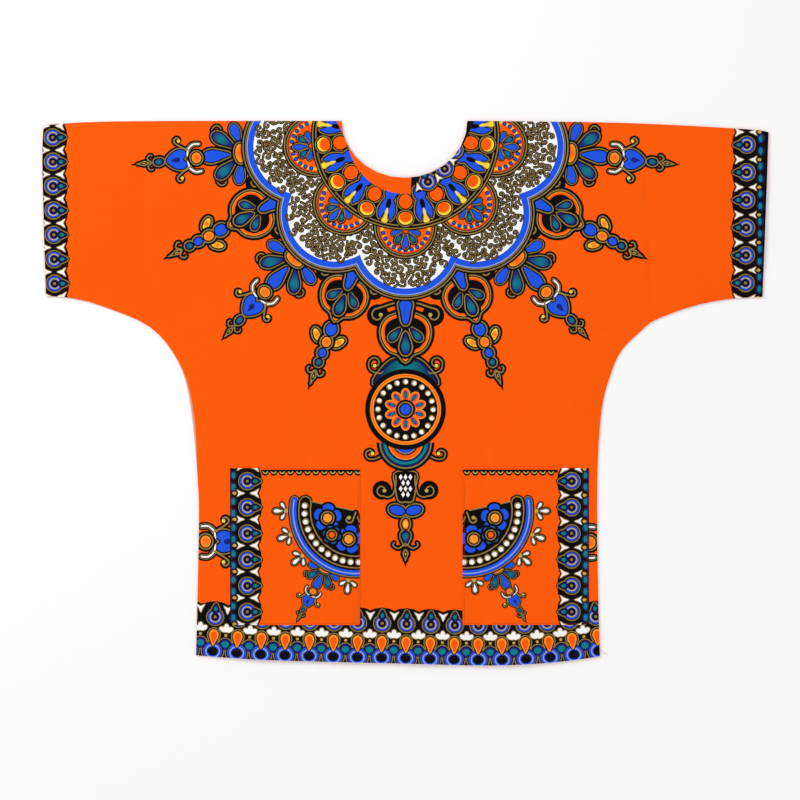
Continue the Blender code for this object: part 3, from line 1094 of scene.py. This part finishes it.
def cloth_piece(name, loop, pattern, grain, loose, height, plain_height, prints_up=True):
    """A closed sheet of cloth, from the heights of its printed and its plain side over print millimetres."""
    points, corners = triangles(loop, *pattern.lines(grain), loose)
    colours = pattern.colours(points, corners)
    rim = np.array(rim_of(corners))
    plain, plain_corners = triangles(points[rim], np.zeros((0, 2)), [], grid_points(points[rim], 18.0))
    face = from_print(points, height(points[:, 0], points[:, 1]))
    other = from_print(plain, plain_height(plain[:, 0], plain[:, 1]))
    known = {tuple(key): i for i, key in enumerate(np.round(plain, 4).tolist())}
    under = np.array([known[tuple(key)] for key in np.round(points[rim], 4).tolist()]) + len(points)
    a, b = rim, np.roll(rim, -1)
    c, d = under, np.roll(under, -1)
    wall = np.concatenate([np.stack([a, c, d], axis=1), np.stack([a, d, b], axis=1)])
    faces = [corners, plain_corners[:, ::-1] + len(points), wall]
    if not prints_up:
        faces = [part[:, ::-1] for part in faces]
        colours = colours[:, ::-1]
    rim_ink = np.tile(linear("deep"), (len(wall), 3, 1))
    plain_ink = np.tile(linear("reverse"), (len(plain_corners), 3, 1))
    obj = mesh_object(name, np.vstack([face, other]), np.vstack(faces),
                      np.concatenate([colours, plain_ink, rim_ink]))
    lay_out(obj, np.arange(len(corners) + len(plain_corners) + len(wall)) < len(corners))
    obj.data.set_sharp_from_angle(angle=math.radians(50))
    print(name, len(points), "points", len(obj.data.polygons), "triangles")
    return obj


def crease_points(spacing=9.0):
    """Rows of places along each pressed crease, so that the mesh can follow it."""
    rows = []
    for x0, y0, x1, y1, _, half in PRESSED:
        length = math.hypot(x1 - x0, y1 - y0)
        nx, ny = (y1 - y0) / length, (x0 - x1) / length
        for off in (-1.7, -0.9, 0, 0.9, 1.7):
            share = np.arange(0, length, spacing)[:, None] / length
            rows.append(np.array([[x0, y0]]) + share * (x1 - x0, y1 - y0) + np.array([nx, ny]) * off * half)
    return np.vstack(rows)


def along_edge(line, off, spacing):
    """Places along a line at a distance to its left, spaced evenly."""
    along = np.gradient(line, axis=0)
    along /= np.maximum(np.linalg.norm(along, axis=1, keepdims=True), 1e-9)
    moved = line + np.stack([-along[:, 1], along[:, 0]], axis=1) * off
    run = np.concatenate([[0], np.cumsum(np.linalg.norm(np.diff(moved, axis=0), axis=1))])
    at = np.arange(0, run[-1], spacing)
    return np.stack([np.interp(at, run, moved[:, 0]), np.interp(at, run, moved[:, 1])], axis=1)


# ---------------------------------------------------------------- stitches

STITCH_PITCH, STITCH_LENGTH, THREAD = 3.2, 2.4, 0.42  # millimetres


def stitch_rows(rows, height):
    """Points and corners of thread stitches along the rows, half sunk in the cloth."""
    points, corners = [], []
    for row in rows:
        steps = along_edge(row, 0.0, STITCH_PITCH)
        along = np.gradient(steps, axis=0)
        along /= np.maximum(np.linalg.norm(along, axis=1, keepdims=True), 1e-9)
        z = height(steps[:, 0], steps[:, 1])
        for place, way, lie in zip(steps, along, z):
            side = np.array([-way[1], way[0]])
            first = len(points)
            for end, size in ((-0.5, 0.35), (-0.34, 1.0), (0.34, 1.0), (0.5, 0.35)):
                middle = place + way * STITCH_LENGTH * end
                for across, up in ((-0.5, 0), (0, 0.62), (0.5, 0), (0, -0.5)):
                    x, y = middle + side * across * THREAD * size
                    points.append((x * MM + NECK[0], y * MM + NECK[1],
                                   lie + up * THREAD * size * MM - 0.05 * MM))
            for hoop in range(3):
                for k in range(4):
                    a, b = first + 4 * hoop + k, first + 4 * hoop + (k + 1) % 4
                    corners += [(a, b, b + 4), (a, b + 4, a + 4)]
            corners += [(first, first + 2, first + 1), (first, first + 3, first + 2)]
            last = first + 12
            corners += [(last, last + 1, last + 2), (last, last + 2, last + 3)]
    return np.array(points), np.array(corners)


# ---------------------------------------------------------------- looks

WEAVE_PITCH = 0.00045  # from thread to thread, in metres
FINE_CREASE, WEAVE_RELIEF = 0.00035, 0.00003  # heights of the bump, in metres


def wire(tree, source, socket):
    tree.links.new(source, socket)


def math_node(tree, operation, a, b=0.0, clamp=False):
    """A maths node whose two inputs are numbers or sockets."""
    node = tree.nodes.new("ShaderNodeMath")
    node.operation, node.use_clamp = operation, clamp
    for socket, value in zip(node.inputs, (a, b)):
        if isinstance(value, (int, float)):
            socket.default_value = value
        else:
            wire(tree, value, socket)
    return node.outputs[0]


def noise(tree, place, scale, detail=2.0, roughness=0.5):
    node = tree.nodes.new("ShaderNodeTexNoise")
    node.inputs["Scale"].default_value = scale
    node.inputs["Detail"].default_value = detail
    node.inputs["Roughness"].default_value = roughness
    wire(tree, place, node.inputs["Vector"])
    return node.outputs["Fac"]


def stretched(tree, place, along):
    """The places scaled along x, y and z, so that a noise is drawn out."""
    node = tree.nodes.new("ShaderNodeMapping")
    node.inputs["Scale"].default_value = along
    wire(tree, place, node.inputs["Vector"])
    return node.outputs["Vector"]


def thread_wave(tree, axis_value, pitch):
    """A wave that rises once over every thread."""
    angle = math_node(tree, "MULTIPLY", axis_value, 2 * math.pi / pitch)
    return math_node(tree, "SINE", angle)


def plain_weave(tree, place):
    """The height of a plain weave: threads go over and under by turns both ways."""
    split = tree.nodes.new("ShaderNodeSeparateXYZ")
    wire(tree, place, split.inputs[0])
    warp = thread_wave(tree, split.outputs["X"], 2 * WEAVE_PITCH)
    weft = thread_wave(tree, split.outputs["Y"], 2 * WEAVE_PITCH)
    return math_node(tree, "MULTIPLY", warp, weft)


def printed_cotton():
    """Wax-printed cotton: the mesh's inks, faded unevenly, matte, with a weave and fine creases."""
    material = bpy.data.materials.new("printed_cotton")
    material.use_nodes = True
    tree = material.node_tree
    tree.nodes.clear()
    out = tree.nodes.new("ShaderNodeOutputMaterial")
    shader = tree.nodes.new("ShaderNodeBsdfPrincipled")
    wire(tree, shader.outputs[0], out.inputs["Surface"])
    ink = tree.nodes.new("ShaderNodeAttribute")
    ink.attribute_name = "ink"
    place = tree.nodes.new("ShaderNodeTexCoord").outputs["Object"]

    blotch = noise(tree, place, 9.0, 3.0)
    slub = noise(tree, stretched(tree, place, (40, 900, 1)), 1.0, 2.0)
    slub_up = noise(tree, stretched(tree, place, (1100, 30, 1)), 1.0, 2.0)
    grain = noise(tree, place, 900.0, 2.0)
    weave = plain_weave(tree, place)
    tone = math_node(tree, "MULTIPLY_ADD", blotch, 0.09)
    tone.node.inputs[2].default_value = 0.955
    for source, share in ((slub, 0.05), (slub_up, 0.04), (grain, 0.05), (weave, 0.025)):
        centred = math_node(tree, "SUBTRACT", source, 0.5 if source != weave else 0.0)
        tone = math_node(tree, "ADD", tone, math_node(tree, "MULTIPLY", centred, share))
    mix = tree.nodes.new("ShaderNodeVectorMath")
    mix.operation = "SCALE"
    wire(tree, ink.outputs["Color"], mix.inputs[0])
    wire(tree, tone, mix.inputs["Scale"])
    wire(tree, mix.outputs[0], shader.inputs["Base Color"])

    rough = math_node(tree, "MULTIPLY_ADD", grain, 0.14)
    rough.node.inputs[2].default_value = 0.78
    wire(tree, rough, shader.inputs["Roughness"])
    shader.inputs["Specular IOR Level"].default_value = 0.08
    shader.inputs["Sheen Weight"].default_value = 0.02
    shader.inputs["Sheen Roughness"].default_value = 0.6

    wrinkle = noise(tree, stretched(tree, place, (34, 26, 1)), 1.0, 5.0, 0.55)
    rumple = noise(tree, place, 160.0, 3.0)
    wrinkled = math_node(tree, "ADD", math_node(tree, "MULTIPLY", wrinkle, FINE_CREASE),
                         math_node(tree, "MULTIPLY", rumple, 0.15 * FINE_CREASE))
    relief = math_node(tree, "ADD", wrinkled, math_node(tree, "MULTIPLY", weave, WEAVE_RELIEF))
    relief = math_node(tree, "ADD", relief, math_node(tree, "MULTIPLY", slub, WEAVE_RELIEF))
    bump = tree.nodes.new("ShaderNodeBump")
    bump.inputs["Strength"].default_value = 1.0
    bump.inputs["Distance"].default_value = 1.0
    wire(tree, relief, bump.inputs["Height"])
    wire(tree, bump.outputs[0], shader.inputs["Normal"])
    return material


def floor_material():
    material = bpy.data.materials.new("pale_floor")
    material.use_nodes = True
    shader = material.node_tree.nodes["Principled BSDF"]
    shader.inputs["Base Color"].default_value = (0.985, 0.985, 0.985, 1)
    shader.inputs["Roughness"].default_value = 1.0
    shader.inputs["Specular IOR Level"].default_value = 0.0
    return material


# ---------------------------------------------------------------- the stage

CLOTH_THICKNESS = 0.0005
POCKET_LIFT = 0.0011  # a pocket's face over the front's, in metres
FLOOR_SIZE = 8.0
CAMERA_PLACE = (-0.008, -0.010, 2.9)
LENS, SENSOR = 90.0, 36.0
SKY = 0.74
LAMPS = (  # name, place, size, watts
    ("key", (-2.1, 1.7, 1.9), 1.3, 38.0),
    ("fill", (1.9, -1.4, 2.6), 2.2, 10.0),
)


def lay_floor(material):
    half = FLOOR_SIZE / 2
    mesh = bpy.data.meshes.new("floor")
    corners = [(-half, -half, 0), (half, -half, 0), (half, half, 0), (-half, half, 0)]
    mesh.from_pydata(corners, [], [(0, 1, 2, 3)])
    floor = bpy.data.objects.new("floor", mesh)
    floor.data.materials.append(material)
    floor.location.z = cad_box[0][2] - 0.0002
    bpy.context.scene.collection.objects.link(floor)


def light_up():
    world = bpy.data.worlds.new("studio")
    world.use_nodes = True
    world.node_tree.nodes["Background"].inputs["Color"].default_value = (1, 1, 1, 1)
    world.node_tree.nodes["Background"].inputs["Strength"].default_value = SKY
    bpy.context.scene.world = world
    for name, place, size, watts in LAMPS:
        data = bpy.data.lights.new(name, "AREA")
        data.shape, data.size, data.energy = "DISK", size, watts
        lamp = bpy.data.objects.new(name, data)
        lamp.location = place
        lamp.rotation_euler = (-Vector(place)).to_track_quat("-Z", "Y").to_euler()
        bpy.context.scene.collection.objects.link(lamp)


def set_camera():
    data = bpy.data.cameras.new("camera")
    data.lens, data.sensor_width = LENS, SENSOR
    camera = bpy.data.objects.new("camera", data)
    camera.location = CAMERA_PLACE
    bpy.context.scene.collection.objects.link(camera)
    bpy.context.scene.camera = camera
    bpy.context.scene.view_settings.view_transform = "Standard"


# ---------------------------------------------------------------- the shirt


LOWEST_FRONT, LOWEST_PLAIN = 0.0016, 0.0009  # the lowest that the front's two sides come, in metres
BACK_TOP = 0.0007
FRONT_GRAIN, POCKET_GRAIN, BACK_GRAIN = 0.25, 0.25, 0.7  # how finely each print is cut, in millimetres


def front_heights(edges):
    """The heights of the front's printed side and of its plain side."""
    soft = Heights("front", 16.0)

    def broad(x, y):
        return soft.at(x, y) - 0.0008 * np.exp(-(edges.outer(x, y) / 5.0) ** 2)

    def printed(x, y):
        z = broad(x, y) + pressed(x, y) + undulation(x, y)
        z += turned_under(edges.hem(x, y), HEM_TURNING) + turned_under(edges.cuff(x, y), CUFF_TURNING)
        z += turned_under(edges.neckline(x, y), NECK_TURNING)
        return np.maximum(z, LOWEST_FRONT)

    def plain(x, y):
        rise = 0.0013 * (1 - np.exp(-(edges.outer(x, y) / 9.0) ** 2))
        return np.maximum(np.maximum(broad(x, y), LOWEST_FRONT) - CLOTH_THICKNESS - rise, LOWEST_PLAIN)

    return printed, plain


def build_shirt():
    rng = np.random.default_rng(7)
    front_loop = turned_left(upper_edge("front"))
    back_loop = turned_left(upper_edge("back"))
    edges = Edges(front_loop)
    low, high = back_loop.min(axis=0) - 2, back_loop.max(axis=0) + 2
    pattern = Print(body_print(edges, rng), low, high)
    print(len(pattern.shapes), "printed shapes,", len(pattern.joins), "joins")
    printed, plain = front_heights(edges)
    turned = [along_edge(edges.hem_line, off, 9.0) for off in (2, 6, 10, 11.8, 13.6, 16)]
    loose = np.vstack([grid_points(front_loop, 10.0), crease_points()] + turned)
    front = cloth_piece("front_cloth", front_loop, pattern, FRONT_GRAIN, loose, printed, plain)
    back = cloth_piece("back_cloth", back_loop, pattern, BACK_GRAIN, grid_points(back_loop, 24.0),
                       lambda x, y: np.full(len(x), BACK_TOP - CLOTH_THICKNESS),
                       lambda x, y: np.full(len(x), BACK_TOP), prints_up=False)
    pieces = [("front", front), ("back", back)]
    for node, side in (("pocket_left", -1), ("pocket_right", 1)):
        pieces.append((node, build_pocket(node, side, printed)))
    return edges, printed, pieces


def pocket_loop(node):
    """A pocket's outline in print millimetres: square at the mouth, a little rounded at the foot."""
    low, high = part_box(node)
    x0, x1 = (low[0] - NECK[0]) / MM, (high[0] - NECK[0]) / MM
    y0, y1 = (low[1] - NECK[1]) / MM, (high[1] - NECK[1]) / MM
    corner = 2.5
    run = [arc(x0 + corner, y0 + corner, corner, 180, 270, 4),
           arc(x1 - corner, y0 + corner, corner, 270, 360, 4),
           [(x1, y) for y in np.arange(y0 + 10, y1, 9.0)], [(x1, y1)],
           [(x, y1) for x in np.arange(x1 - 9, x0, -9.0)], [(x0, y1)],
           [(x0, y) for y in np.arange(y1 - 9, y0 + 9, -9.0)]]
    return np.vstack(run)


POCKET_HEM = 22.0
ROUNDED = 0.0003  # how far a pocket's edge is pressed down, in metres


def build_pocket(node, side, body):
    loop = pocket_loop(node)
    x0, y0 = loop.min(axis=0)
    x1, y1 = loop.max(axis=0)

    def printed(x, y):
        off = np.minimum(np.minimum(x - x0, x1 - x), y - y0)
        edge = turned_under(y1 - y, POCKET_HEM) - ROUNDED * np.exp(-(off / 1.6) ** 2)
        return body(x, y) + POCKET_LIFT + edge

    def plain(x, y):
        return body(x, y) + POCKET_LIFT - ROUNDED - CLOTH_THICKNESS

    loose = [grid_points(loop, 8.0), inside_loop(loop, crease_points())]
    for off in (2, 5, POCKET_HEM - 3.6, POCKET_HEM - 1.4, POCKET_HEM + 1.5):
        loose.append(np.array([(x, y1 - off) for x in np.arange(x0 + 4, x1 - 3, 8.0)]))
    low, high = loop.min(axis=0), loop.max(axis=0)
    pattern = Print(pocket_print(side, low, high), low - 2, high + 2)
    return cloth_piece(node + "_cloth", loop, pattern, POCKET_GRAIN, np.vstack(loose), printed, plain)


def inside_loop(loop, places):
    return places[inside(turned_left(loop), places[:, 0], places[:, 1])]


def stitching(edges, body):
    """All the visible stitches of the shirt as one piece."""
    rows = [along_edge(edges.hem_line, HEM_TURNING - 2.2, 4.0),
            along_edge(edges.left, 2.2 - CUFF_TURNING, 4.0),
            along_edge(edges.right, CUFF_TURNING - 2.2, 4.0)]
    rows.append(along_edge(edges.neck, 2.2 - NECK_TURNING, 4.0))
    parts = [stitch_rows(rows, body)]
    for node in ("pocket_left", "pocket_right"):
        loop = pocket_loop(node)
        (x0, y0), (x1, y1) = loop.min(axis=0), loop.max(axis=0)
        inset = 2.4
        round_ = np.array([(x0 + inset, y1 - 1), (x0 + inset, y0 + inset), (x1 - inset, y0 + inset),
                           (x1 - inset, y1 - 1)])
        mouth = np.array([(x0 + 1, y1 - POCKET_HEM + 2.2), (x1 - 1, y1 - POCKET_HEM + 2.2)])
        parts.append(stitch_rows([even(round_), even(mouth)], lambda x, y: body(x, y) + POCKET_LIFT))
    points, corners, count = [], [], 0
    for part_points, part_corners in parts:
        points.append(part_points)
        corners.append(part_corners + count)
        count += len(part_points)
    points, corners = np.vstack(points), np.vstack(corners)
    colours = np.tile(linear("thread"), (len(corners), 3, 1))
    return mesh_object("stitching", points, corners, colours)


def even(line, spacing=4.0):
    """A broken line as evenly spaced points."""
    run = np.concatenate([[0], np.cumsum(np.linalg.norm(np.diff(line, axis=0), axis=1))])
    at = np.arange(0, run[-1], spacing)
    return np.stack([np.interp(at, run, line[:, 0]), np.interp(at, run, line[:, 1])], axis=1)


def main():
    edges, body, pieces = build_shirt()
    cotton = printed_cotton()
    for node, piece in pieces:
        piece.data.materials.append(cotton)
        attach(piece, "root")
        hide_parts(node)
    stitches = stitching(edges, body)
    stitches.data.materials.append(cotton)
    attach(stitches, "root")
    lay_floor(floor_material())
    light_up()
    set_camera()


main()
